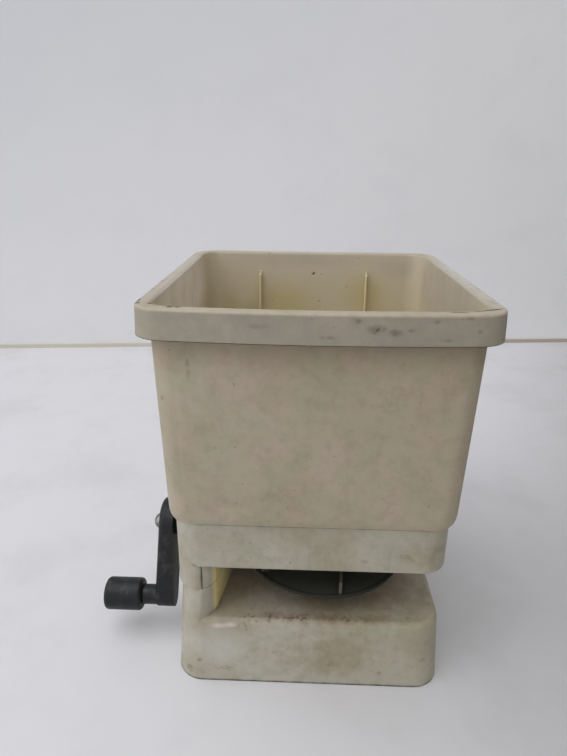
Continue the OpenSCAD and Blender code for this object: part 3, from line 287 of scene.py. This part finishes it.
def moulded_abs(name, clean, yellowed, grime, dirt=1.0, inside=None, spots=(), scuffs=(), seams=(),
                dotted=(), clouded=(), corner_yellow=None, tints=("#a6a688", "#bda795")):
    """ABS injection moulded against a fine spark texture, decades old: a dry satin shell whose
    colour drifts in clouds and darkens towards the right as a painted shade, with dust ground into the grain, brown
    specks, dirt in the joints and painted shade and light at listed marks.
    inside is the paler colour of a hopper's inner walls, a painted light; corner_yellow is the pale yellow of the
    bay's rounded inner corner."""
    material, tree, shader = new_material(name)
    place = add(tree, "TexCoord", None, "Object")
    x, y, z = add(tree, "SeparateXYZ", Vector=place).node.outputs

    # Slow drift between the clean and the yellowed tone in clouds, and towards the right a painted shade in which the
    # yellowed tone takes over
    clouds = add(tree, "TexNoise", Vector=place, Scale=per_metre(CLOUD_MM), Detail=4.0, Roughness=0.6)
    share = add(tree, "MapRange", SOFT_STEP, Value=clouds, From_Min=0.34, From_Max=0.66)
    right_side_shade = add(tree, "MapRange", None, Value=x, From_Min=-0.09, From_Max=0.09, To_Max=0.65)
    share = add(tree, "Math", {"operation": "MAXIMUM"}, n0=share, n1=right_side_shade)
    colour = add(tree, "Mix", COLOUR_MIX, 2, n0=share, n6=linear(clean), n7=linear(yellowed))

    # Patches that have aged to a pinker or a greener tone
    aged = add(tree, "TexNoise", Vector=place, Scale=per_metre(AGED_MM), Detail=5.0, Roughness=0.62)
    share = add(tree, "MapRange", SOFT_STEP, Value=aged, From_Min=0.38, From_Max=0.62)
    tone = add(tree, "Mix", COLOUR_MIX, 2, n0=share, n6=linear(tints[0]), n7=linear(tints[1]))
    colour = add(tree, "Mix", COLOUR_MIX, 2, n0=0.28, n6=colour, n7=tone)

    # Dust rubbed into the texture, a soft mottle
    mottle = add(tree, "TexNoise", Vector=place, Scale=per_metre(MOTTLE_MM), Detail=6.0, Roughness=0.66)
    share = add(tree, "MapRange", SOFT_STEP, Value=mottle, From_Min=0.4, From_Max=0.72,
                To_Max=0.22 * dirt)
    colour = add(tree, "Mix", COLOUR_MIX, 2, n0=share, n6=colour, n7=linear(grime))

    # Hand smudges
    smudge = add(tree, "TexNoise", Vector=place, Scale=per_metre(SMUDGE_MM), Detail=7.0, Roughness=0.68,
                 Distortion=0.4)
    share = add(tree, "MapRange", SOFT_STEP, Value=smudge, From_Min=0.5, From_Max=0.74,
                To_Max=0.18 * dirt)
    colour = add(tree, "Mix", COLOUR_MIX, 2, n0=share, n6=colour, n7=linear(grime))

    # Dirt washed down in faint streaks
    drawn_out = add(tree, "Mapping", Vector=place, Scale=(1.0, 1.0, 0.1))
    streaks = add(tree, "TexNoise", Vector=drawn_out, Scale=per_metre(STREAK_MM), Detail=3.0, Roughness=0.5)
    share = add(tree, "MapRange", SOFT_STEP, Value=streaks, From_Min=0.58, From_Max=0.8,
                To_Max=0.16 * dirt)
    colour = add(tree, "Mix", COLOUR_MIX, 2, n0=share, n6=colour, n7=linear(grime))

    # Inner walls of the hopper, yellower lower down and painted paler: a painted light standing in for the light that
    # falls into the hopper
    if inside:
        deep = add(tree, "Math", {"operation": "SUBTRACT"}, n0=RIM_Z - SKIRT_H, n1=z)
        drawn_in = add(tree, "Math", PRODUCT, n0=deep, n1=-HOPPER_DRAFT)
        corner = add(tree, "VectorMath", {"operation": "MULTIPLY_ADD"}, n0=drawn_in, n1=(1, 1, 0),
                     n2=(INNER_HALF_W - INNER_CORNER_R, INNER_HALF_D - INNER_CORNER_R, 0))
        quarter = add(tree, "VectorMath", {"operation": "ABSOLUTE"}, n0=place)
        past = add(tree, "VectorMath", {"operation": "SUBTRACT"}, n0=quarter, n1=corner)
        past = add(tree, "VectorMath", {"operation": "MULTIPLY"}, n0=past, n1=(1, 1, 0))
        past = add(tree, "VectorMath", {"operation": "MAXIMUM"}, n0=past, n1=(0, 0, 0))
        past = add(tree, "VectorMath", LENGTH, "Value", n0=past)
        within = add(tree, "MapRange", SOFT_STEP, Value=past, From_Min=INNER_CORNER_R + 0.0010,
                     From_Max=INNER_CORNER_R + 0.0004)
        under = add(tree, "MapRange", SOFT_STEP, Value=z, From_Min=RIM_Z - 0.0002, From_Max=RIM_Z - 0.002)
        share = add(tree, "Math", PRODUCT, n0=within, n1=under)
        outer = add(tree, "MapRange", SOFT_STEP, Value=past, From_Min=INNER_CORNER_R + 0.004,
                    From_Max=INNER_CORNER_R + 0.0055)
        held = add(tree, "MapRange", SOFT_STEP, Value=z, From_Min=RIM_Z - SKIRT_H - 0.0005,
                   From_Max=RIM_Z - SKIRT_H + 0.0005)
        held = add(tree, "Math", PRODUCT, n0=held, n1=outer)
        held = add(tree, "Math", PRODUCT, n0=held, n1=add(tree, "MapRange", SOFT_STEP, Value=z,
                   From_Min=RIM_Z - 0.0004, From_Max=RIM_Z - 0.002, To_Max=0.62))
        uneven = add(tree, "MapRange", SOFT_STEP, Value=smudge, From_Min=0.3, From_Max=0.62, To_Min=0.55,
                     To_Max=1.15)
        held = add(tree, "Math", PRODUCT, n0=held, n1=uneven)
        colour = add(tree, "Mix", COLOUR_MIX, 2, n0=held, n6=colour, n7=linear("#8e897f"))
        # Painted shadow and dirt on the hopper's outside below the skirt
        under_skirt_shadow = add(tree, "MapRange", SOFT_STEP, Value=z, From_Min=RIM_Z - SKIRT_H - 0.022,
                      From_Max=RIM_Z - SKIRT_H - 0.001, To_Max=0.42)
        outside = add(tree, "MapRange", SOFT_STEP, Value=past, From_Min=INNER_CORNER_R + 0.0010,
                      From_Max=INNER_CORNER_R + 0.0016)
        under_skirt_shadow = add(tree, "Math", PRODUCT, n0=under_skirt_shadow, n1=outside)
        under_skirt_shadow = add(tree, "Math", PRODUCT, n0=under_skirt_shadow, n1=add(tree, "Math", BELOW, n0=z, n1=RIM_Z - SKIRT_H))
        colour = add(tree, "Mix", COLOUR_MIX, 2, n0=under_skirt_shadow, n6=colour, n7=linear("#8d7b62"))
        low = add(tree, "MapRange", SOFT_STEP, Value=z, From_Min=RIM_Z, From_Max=RIM_Z - 0.075)
        wall_tone = add(tree, "Mix", COLOUR_MIX, 2, n0=low, n6=linear(inside[0]), n7=linear(inside[1]))
        # Painted light: the inner walls mixed most of the way to the paler wall tone
        inner_wall_painted_light = add(tree, "Mix", COLOUR_MIX, 2, n0=0.72, n6=colour, n7=wall_tone)
        colour = add(tree, "Mix", COLOUR_MIX, 2, n0=share, n6=colour, n7=inner_wall_painted_light)
        faded = add(tree, "MapRange", SOFT_STEP, Value=smudge, From_Min=0.25, From_Max=0.55, To_Min=0.4)
        within_wall = add(tree, "Math", PRODUCT, n0=within, n1=faded)
        colour = marks(tree, colour, place, within_wall, INSIDE_PAINTED_LIGHT, "#f0e6dc", 0.5)
        colour = marks(tree, colour, place, within_wall, INSIDE_GREY_SHADE, "#a39a90", 0.5)
        colour = marks(tree, colour, place, within_wall, INSIDE_YELLOW, "#bdae78", 0.1)
        colour = marks(tree, colour, place, within_wall, INSIDE_SHADE, "#8b8266", 0.1)
        ribs = add(tree, "MapRange", SOFT_STEP, Value=add(tree, "Math", {"operation": "PINGPONG"}, n0=x, n1=RIB_X),
                   From_Min=RIB_X - 0.0014, From_Max=RIB_X - 0.0009)
        off_wall = add(tree, "MapRange", SOFT_STEP, Value=y, From_Min=0.076, From_Max=0.078)
        inner_face = add(tree, "MapRange", SOFT_STEP, Value=past, From_Min=INNER_CORNER_R - 0.0002,
                         From_Max=INNER_CORNER_R - 0.0012)
        share = add(tree, "Math", PRODUCT, n0=ribs, n1=off_wall)
        share = add(tree, "Math", PRODUCT, n0=share, n1=inner_face)
        # Painted shade on the rib tops: the pale rib tone fades there and a darker tone goes on, against the light
        # they catch from above
        below_top = add(tree, "MapRange", SOFT_STEP, Value=z, From_Min=RIM_Z - RIB_DROP + 0.001,
                        From_Max=RIM_Z - RIB_DROP - 0.004, To_Min=0.15)
        share = add(tree, "Math", PRODUCT, n0=share, n1=below_top)
        colour = add(tree, "Mix", COLOUR_MIX, 2, n0=share, n6=colour, n7=linear(inside[2]))
        rib_top_shade = add(tree, "MapRange", SOFT_STEP, Value=z, From_Min=RIM_Z - RIB_DROP - 0.003,
                       From_Max=RIM_Z - RIB_DROP - 0.001, To_Max=0.6)
        rib_top_shade = add(tree, "Math", PRODUCT, n0=rib_top_shade, n1=add(tree, "Math", PRODUCT, n0=ribs, n1=off_wall))
        rib_top_shade = add(tree, "Math", PRODUCT, n0=rib_top_shade, n1=inner_face)
        rib_top_shade = add(tree, "Math", PRODUCT, n0=rib_top_shade, n1=add(tree, "Math", BELOW, n0=z, n1=RIM_Z - RIB_DROP + 0.001))
        colour = add(tree, "Mix", COLOUR_MIX, 2, n0=rib_top_shade, n6=colour, n7=linear("#8c8164"))

    # The bay's rounded inner corner, a pale yellow strongest at the front and fading out towards the back
    if corner_yellow:
        lean = add(tree, "VectorMath", {"operation": "DOT_PRODUCT"}, "Value", n0=place,
                   n1=(math.cos(SWEEP_SLANT), -math.sin(SWEEP_SLANT), 0))
        wall = AXIS.x * math.cos(SWEEP_SLANT) - AXIS.y * math.sin(SWEEP_SLANT) - SWEEP_R
        near = add(tree, "MapRange", SOFT_STEP, Value=lean, From_Min=wall + 0.003, From_Max=wall + 0.001)
        back = add(tree, "MapRange", SOFT_STEP, Value=lean, From_Min=wall - 0.0075, From_Max=wall - 0.0035)
        deep = add(tree, "MapRange", SOFT_STEP, Value=y, From_Min=-0.0790, From_Max=-0.0755)
        shaded = add(tree, "MapRange", SOFT_STEP, Value=y, From_Min=-0.066, From_Max=-0.03, To_Min=1.0, To_Max=0.0)
        deep = add(tree, "Math", PRODUCT, n0=deep, n1=shaded)
        high = add(tree, "MapRange", SOFT_STEP, Value=z, From_Min=BASE_TOP_Z, From_Max=BASE_TOP_Z + 0.003)
        share = add(tree, "Math", PRODUCT, n0=near, n1=back)
        share = add(tree, "Math", PRODUCT, n0=share, n1=deep)
        share = add(tree, "Math", PRODUCT, n0=share, n1=high)
        share = add(tree, "Math", PRODUCT, n0=share, n1=0.95)
        colour = add(tree, "Mix", COLOUR_MIX, 2, n0=share, n6=colour, n7=linear(corner_yellow))

    # Specks: fine dark ones and a few larger, fainter brown ones
    for spacing, least, reach, strength, tone in ((SPECK_MM, 0.78, 0.15, 0.4, "#5d5140"),
                                                 (BLOT_MM, 0.62, 0.12, 0.34, "#6a5638")):
        cells = add(tree, "TexVoronoi", Vector=place, Scale=per_metre(spacing), Randomness=1.0).node.outputs
        size = add(tree, "SeparateColor", Color=cells["Color"])
        limit = add(tree, "MapRange", SOFT_STEP, Value=size, From_Min=least, From_Max=1.0, To_Max=reach)
        near = add(tree, "Math", BELOW, n0=cells["Distance"], n1=limit)
        share = add(tree, "Math", PRODUCT, n0=near, n1=strength * dirt)
        colour = add(tree, "Mix", COLOUR_MIX, 2, n0=share, n6=colour, n7=linear(tone))

    # Grime in the joints, and a painted contact shadow where a seam lies at the table, broken by the mottle
    broken = add(tree, "MapRange", SOFT_STEP, Value=mottle, From_Min=0.3, From_Max=0.62,
                 To_Min=0.35)
    for level, half_mm, strength, tone in seams:
        share = level_line(tree, z, level, half_mm, strength)
        share = add(tree, "Math", PRODUCT, n0=share, n1=broken)
        colour = add(tree, "Mix", COLOUR_MIX, 2, n0=share, n6=colour, n7=linear(tone))

    # Chips, stains, scuffs and patches of painted shade and light at their own places
    crumbs = add(tree, "TexNoise", Vector=place, Scale=per_metre(CRUMB_MM), Detail=3.0)
    ragged = add(tree, "MapRange", SOFT_STEP, Value=crumbs, From_Min=0.36, From_Max=0.54)
    rubbed = add(tree, "MapRange", SOFT_STEP, Value=crumbs, From_Min=0.2, From_Max=0.5, To_Min=0.6)
    dots = add(tree, "MapRange", SOFT_STEP, Value=crumbs, From_Min=0.52, From_Max=0.6)
    for group, tone in clouded:
        colour = marks(tree, colour, place, broken, group, tone, 0.1)
    for group, tone in spots:
        chipped = group is CHIPS
        colour = marks(tree, colour, place, rubbed if chipped else ragged, group, tone, 0.6 if chipped else 0.35)
    for group, tone in dotted:
        colour = marks(tree, colour, place, dots, group, tone, 0.1)
    colour = marks(tree, colour, place, rubbed, scuffs, "#d8cbc8", 0.1)

    tree.links.new(colour, shader.inputs["Base Color"])
    rough = add(tree, "MapRange", SOFT_STEP, Value=smudge, From_Min=0.35, From_Max=0.7,
                To_Min=0.5, To_Max=0.62)
    tree.links.new(rough, shader.inputs["Roughness"])
    shader.inputs["IOR"].default_value = 1.53
    grain = add(tree, "TexNoise", Vector=place, Scale=per_metre(GRAIN_MM), Detail=2.0)
    bump = add(tree, "Bump", Height=grain, Strength=0.14, Distance=0.0002)
    swell = add(tree, "TexNoise", Vector=place, Scale=per_metre(38), Detail=1.0)
    bump = add(tree, "Bump", Height=swell, Normal=bump, Strength=0.25, Distance=0.0012)
    tree.links.new(bump, shader.inputs["Normal"])
    return material


def moulded_nylon(name, tone, roughness, sheen, dust, dust_and_light_above=None, shaded_past=None):
    """Glass-filled nylon, moulded black: a soft blue-black sheen, with pale dust where hands
    don't reach. dust_and_light_above is a height over which the disc's vanes are painted paler, seed dust together
    with a painted light on their edges, and shaded_past the distance from the disc's axis past which its outer wall is
    painted darker, a painted shade."""
    material, tree, shader = new_material(name)
    place = add(tree, "TexCoord", None, "Object")
    cling = add(tree, "TexNoise", Vector=place, Scale=per_metre(7), Detail=6.0, Roughness=0.65)
    share = add(tree, "MapRange", SOFT_STEP, Value=cling, From_Min=0.48, From_Max=0.74,
                To_Max=dust)
    colour = add(tree, "Mix", COLOUR_MIX, 2, n0=share, n6=linear(tone), n7=linear("#77736a"))
    # Painted shade: the disc's outer wall darker
    if shaded_past:
        flat = add(tree, "VectorMath", {"operation": "MULTIPLY_ADD"}, n0=place, n1=(1, 1, 0),
                   n2=(-AXIS.x, -AXIS.y, 0))
        away = add(tree, "VectorMath", LENGTH, "Value", n0=flat)
        share = add(tree, "MapRange", SOFT_STEP, Value=away, From_Min=shaded_past, From_Max=shaded_past + 0.0004)
        colour = add(tree, "Mix", COLOUR_MIX, 2, n0=share, n6=colour, n7=linear("#2f302a"))
    # Pale seed dust and painted light on the vane tops
    if dust_and_light_above:
        height = add(tree, "SeparateXYZ", None, 2, Vector=place)
        share = add(tree, "MapRange", SOFT_STEP, Value=height, From_Min=dust_and_light_above,
                    From_Max=dust_and_light_above + 0.002, To_Max=0.28)
        colour = add(tree, "Mix", COLOUR_MIX, 2, n0=share, n6=colour, n7=linear("#8f8a7c"))
    tree.links.new(colour, shader.inputs["Base Color"])
    shader.inputs["Roughness"].default_value = roughness
    shader.inputs["IOR"].default_value = 1.53
    shader.inputs["Specular IOR Level"].default_value = sheen
    grain = add(tree, "TexNoise", Vector=place, Scale=per_metre(0.8), Detail=2.0)
    bump = add(tree, "Bump", Height=grain, Strength=0.16, Distance=0.0002)
    tree.links.new(bump, shader.inputs["Normal"])
    return material


def worn_metal(name, bright, dull, roughness):
    """Plated or plain metal gone dull: bright where it rubs, greyer and rougher elsewhere."""
    material, tree, shader = new_material(name)
    place = add(tree, "TexCoord", None, "Object")
    wear = add(tree, "TexNoise", Vector=place, Scale=per_metre(4), Detail=4.0)
    share = add(tree, "MapRange", SOFT_STEP, Value=wear, From_Min=0.4, From_Max=0.65)
    colour = add(tree, "Mix", COLOUR_MIX, 2, n0=share, n6=linear(bright), n7=linear(dull))
    tree.links.new(colour, shader.inputs["Base Color"])
    rough = add(tree, "MapRange", SOFT_STEP, Value=wear, From_Min=0.4, From_Max=0.65,
                To_Min=roughness, To_Max=roughness + 0.18)
    tree.links.new(rough, shader.inputs["Roughness"])
    shader.inputs["Metallic"].default_value = 1.0
    return material


BROWN, DARK, FOOT_SHADOW = "#6b5439", "#3a2c20", "#2c2a24"
hopper_abs = moulded_abs(
    "moulded_cream_abs", "#b5aa97", "#a99d86", "#7f735e",
    inside=("#cfc4ad", "#d3c7a6", "#dcd0a6"),
    spots=((CHIPS, DARK), (INSIDE_SPOTS, DARK), (WALL_SMEARS, "#857762")),
    clouded=((SKIRT_SMUDGES, "#665a50"), (LAND_PALE, "#c3c2bc")),
    dotted=((SKIRT_SMUDGES, "#574a41"), (LAND_DIRT, "#5c4632")),
    seams=((SEAM_Z, 0.9, 0.6, BROWN),))
body_abs = moulded_abs(
    "moulded_greenish_abs", "#c0bdb2", "#9f977f", "#7d745e", dirt=1.1, corner_yellow="#efde9c", tints=("#a5a891", "#b4a99a"),
    spots=((BODY_STAINS, BROWN),), scuffs=SCUFFS, dotted=((EDGE_DIRT, "#66513c"),),
    clouded=((BODY_PAINTED_LIGHT, "#d2d1ca"), (BODY_YELLOW, "#8d7c5c"), (EDGE_SHADE, "#857661"), (JOINT_DIRT, "#6b5a42"),
             (BASE_DUST, "#8a6f55")),
    # Painted contact shadow: the dark line at height 0 where the base meets the table
    seams=((SEAM_Z, 0.9, 0.65, BROWN), (SPLIT_Z, 0.6, 0.7, BROWN), (0.0, 1.9, 0.9, FOOT_SHADOW)))
handle_abs = moulded_abs("moulded_cream_abs_handle", "#b6ab96", "#a99c84", "#7f7464", dirt=1.2)
nylon = moulded_nylon("moulded_black_nylon", "#101316", 0.45, 0.34, 0.2)
disc_nylon = moulded_nylon("moulded_disc_nylon", "#3b3d36", 0.85, 0.2, 0.1, dust_and_light_above=disc_high.z - 0.0085,
                           shaded_past=(disc_high.x - disc_low.x) / 2 - 0.0022)
zinc = worn_metal("zinc_plated_steel", "#adaea9", "#80817c", 0.32)
bright_steel = worn_metal("ground_steel", "#c4c6c9", "#9b9da0", 0.22)
gear_brass = worn_metal("machined_brass", "#c9a25c", "#94794a", 0.3)


def joined_mesh(source, name):
    """A copy of a CAD mesh with its triangles joined back into flat faces."""
    mesh = source.data.copy()
    mesh.name = name
    work = bmesh.new()
    work.from_mesh(mesh)
    bmesh.ops.remove_doubles(work, verts=work.verts, dist=2e-6)
    bmesh.ops.dissolve_limit(work, angle_limit=math.radians(0.5), verts=work.verts, edges=work.edges)
    bmesh.ops.recalc_face_normals(work, faces=work.faces)
    work.to_mesh(mesh)
    work.free()
    mesh.materials.clear()
    return mesh


SHARP = math.radians(29)


def dress(node, material, radius_at, steps=3):
    """Puts a moulded copy with rounded edges in a CAD node's place.
    radius_at gives the radius in millimetres of a sharp edge from its two ends, 0 to leave it."""
    source = nodes[node]
    mesh = joined_mesh(source, node + "_shell")
    work = bmesh.new()
    work.from_mesh(mesh)
    layer = work.edges.layers.float.get("bevel_weight_edge") or work.edges.layers.float.new("bevel_weight_edge")
    wanted = {}
    for edge in work.edges:
        edge.smooth = True
        if len(edge.link_faces) == 2 and edge.calc_face_angle(0) > SHARP:
            radius = radius_at(edge.verts[0].co / MM, edge.verts[1].co / MM)
            wanted[edge] = radius
            edge.smooth = radius > 0
    largest = max(wanted.values(), default=0)
    for edge, radius in wanted.items():
        edge[layer] = radius / largest if largest else 0
    for face in work.faces:
        face.smooth = True
    work.to_mesh(mesh)
    work.free()
    piece = bpy.data.objects.new(node + "_shell", mesh)
    bpy.context.scene.collection.objects.link(piece)
    mesh.materials.append(material)
    if largest:
        rounding = piece.modifiers.new("rounded_edges", "BEVEL")
        rounding.limit_method = "WEIGHT"
        rounding.width = largest * MM
        rounding.segments = steps
        rounding.use_clamp_overlap = False
        rounding.miter_outer = "MITER_ARC"
    shading = piece.modifiers.new("even_shading", "WEIGHTED_NORMAL")
    shading.keep_sharp = True
    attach(piece, source["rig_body"])
    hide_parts(node)
    return piece


def both(a, b, axis, level, slack=0.06):
    """True where both ends of an edge lie at one coordinate."""
    return abs(a[axis] - level) < slack and abs(b[axis] - level) < slack


def hopper_edges(a, b):
    rim, skirt = RIM_Z / MM, (RIM_Z - SKIRT_H) / MM
    middle = (a + b) / 2
    if both(a, b, 2, rim, 0.1):
        outer = abs(middle.x) > 86.5 or abs(middle.y) > 91.5 or (abs(middle.x) > 82 and abs(middle.y) > 86.5)
        return 1.4 if outer else 1.8 if middle.y > 86 else 1.5
    if both(a, b, 2, skirt, 0.1) and (abs(middle.x) > 84.5 or abs(middle.y) > 90):
        return 0.5
    if abs(abs(middle.x) - RIB_X / MM) < 1.5 and middle.y > 60 and min(a.z, b.z) > SEAM_Z / MM + 3:
        return 0.3
    return 0


def outer_shell(a, b, low, high, slack):
    """True where both ends of an edge lie near the sides of a box."""
    near = [min(p.x - low.x, high.x - p.x, p.y - low.y, high.y - p.y) for p in (a, b)]
    return max(near) < slack


def housing_edges(a, b):
    low, high = band_low / MM, band_high / MM
    if both(a, b, 2, SEAM_Z / MM):
        return 0.5
    if outer_shell(a, b, low, high, 6.5) and (both(a, b, 2, SPLIT_Z / MM) or both(a, b, 2, BAND_Z / MM, 0.3)):
        return 0.6
    return 0


def base_edges(a, b):
    low, high = base_low / MM, base_high / MM
    if both(a, b, 2, 0) and outer_shell(a, b, low, high, 1.6):
        return 0.9
    if both(a, b, 2, SPLIT_Z / MM) and outer_shell(a, b, low, high, 6.8):
        return 0.4
    return 0


def plain_edges(radius, shortest=2.0):
    """Rounds every sharp edge longer than the circles of the screw holes are made of."""
    return lambda a, b: radius if (a - b).length > shortest else 0


dress("hopper", hopper_abs, hopper_edges, steps=4)
dress("gear_housing", body_abs, housing_edges, steps=2)
dress("gear_cover", body_abs, lambda a, b: 0)
dress("base", body_abs, base_edges, steps=2)
dress("crank_arm", nylon, lambda a, b: 0)
dress("impeller", disc_nylon, lambda a, b: 0)


# CAD nodes whose shape is right keep their meshes and take a material
FINISHES = {
    "hopper": hopper_abs, "gear_housing": body_abs, "gear_cover": body_abs, "base": body_abs,
    "handle_left": handle_abs, "handle_right": handle_abs,
    "crank_arm": nylon, "crank_knob": nylon, "knob_cap": nylon, "crank_bushing": nylon,
    "inner_bushing": nylon, "floor_bushing": nylon, "drive_gear": nylon, "agitator": nylon,
    "flow_gate": nylon, "gate_tab": nylon, "impeller": disc_nylon,
    "pinion": gear_brass, "crank_shaft": bright_steel, "spindle": bright_steel,
}
for node, source in nodes.items():
    source.data.materials.clear()
    source.data.materials.append(FINISHES.get(node, zinc))


# Stage: a pale table against a pale wall that stands askew behind it, with a beige joint at its foot
WALL_FROM, WALL_TO = Vector((-0.420, 0.568, 0)), Vector((0.424, 0.654, 0))
WALL_TURN = math.atan2(WALL_TO.y - WALL_FROM.y, WALL_TO.x - WALL_FROM.x)


def painted(name, bright, shaded, towards, near, far, rough):
    """Emulsion or lacquer on a flat board, darker towards one side: on the table and the wall this is painted shade.
    """
    material, tree, shader = new_material(name)
    place = add(tree, "TexCoord", None, "Object")
    along = add(tree, "VectorMath", {"operation": "DOT_PRODUCT"}, "Value", n0=place, n1=towards)
    share = add(tree, "MapRange", SOFT_STEP, Value=along, From_Min=near, From_Max=far)
    colour = add(tree, "Mix", COLOUR_MIX, 2, n0=share, n6=linear(bright), n7=linear(shaded))
    faint = add(tree, "TexNoise", Vector=place, Scale=per_metre(90), Detail=4.0, Roughness=0.6)
    share = add(tree, "MapRange", SOFT_STEP, Value=faint, From_Min=0.45, From_Max=0.7, To_Max=0.12)
    colour = add(tree, "Mix", COLOUR_MIX, 2, n0=share, n6=colour, n7=linear(shaded))
    tree.links.new(colour, shader.inputs["Base Color"])
    shader.inputs["Roughness"].default_value = rough
    return material


def slab(name, low, high, material, turn=0.0, at=(0, 0, 0)):
    """A flat-sided stage block between two corners, turned about the vertical at a point."""
    mesh = bpy.data.meshes.new(name)
    work = bmesh.new()
    bmesh.ops.create_cube(work, size=1)
    for vert in work.verts:
        vert.co = Vector(low[i] if vert.co[i] < 0 else high[i] for i in range(3))
    bmesh.ops.rotate(work, verts=work.verts, matrix=Matrix.Rotation(turn, 3, "Z"))
    bmesh.ops.translate(work, verts=work.verts, vec=at)
    work.to_mesh(mesh)
    work.free()
    mesh.materials.append(material)
    made = bpy.data.objects.new(name, mesh)
    bpy.context.scene.collection.objects.link(made)
    return made


# Painted shade: the table darkens towards the right front, the wall towards the top left
table_top = painted("lacquered_table", "#dcdbde", "#93928f", (0.9, -0.44, 0), 0.0, 0.42, 0.6)
wall_paint = painted("painted_wall", "#e7e7e9", "#cecfd3", (-0.6, 0, 1), 0.2, 1.0, 0.9)
foot_paint = painted("joint_filler", "#cfc9bc", "#b0a697", (1, 0, 0), -0.2, 0.5, 0.9)
slab("table", (-3, -3, -0.02), (3, 1.5, 0), table_top)
slab("wall", (-3, 0, -0.02), (3, 0.02, 3), wall_paint, WALL_TURN, WALL_FROM)
slab("joint", (-3, -0.003, -0.02), (3, 0, 0.006), foot_paint, WALL_TURN, WALL_FROM)


def lamp(name, at, towards, size, watts, shade="#ffffff"):
    data = bpy.data.lights.new(name, "AREA")
    data.shape = "DISK"
    data.size = size
    data.energy = watts
    data.color = linear(shade)[:3]
    made = bpy.data.objects.new(name, data)
    bpy.context.scene.collection.objects.link(made)
    made.location = at
    made.rotation_mode = "QUATERNION"
    made.rotation_quaternion = (Vector(towards) - Vector(at)).to_track_quat("-Z", "Y")
    return made


lamp("ceiling_lamp", (-0.85, -0.3, 1.95), (0, 0, 0.1), 2.6, 26, "#fafbff")
world = bpy.data.worlds.new("room")
world.use_nodes = True
sky = world.node_tree
facing = add(sky, "VectorMath", {"operation": "DOT_PRODUCT"}, "Value",
             n0=add(sky, "TexCoord", None, "Generated"), n1=(0.93, 0.25, 0))
rise = add(sky, "SeparateXYZ", None, 2, Vector=add(sky, "TexCoord", None, "Generated"))
level = add(sky, "MapRange", None, Value=rise, From_Min=0.15, From_Max=0.85, To_Min=1.0, To_Max=0.15)
facing = add(sky, "Math", PRODUCT, n0=facing, n1=level)
side = add(sky, "MapRange", None, Value=facing, From_Min=-0.8, From_Max=0.8)
room_tone = add(sky, "Mix", COLOUR_MIX, 2, n0=side, n6=linear("#fdfeff"), n7=linear("#75726f"))
sky.links.new(room_tone, sky.nodes["Background"].inputs["Color"])
sky.nodes["Background"].inputs["Strength"].default_value = 1.08
bpy.context.scene.world = world
bpy.context.scene.view_settings.view_transform = "Standard"

make_camera()
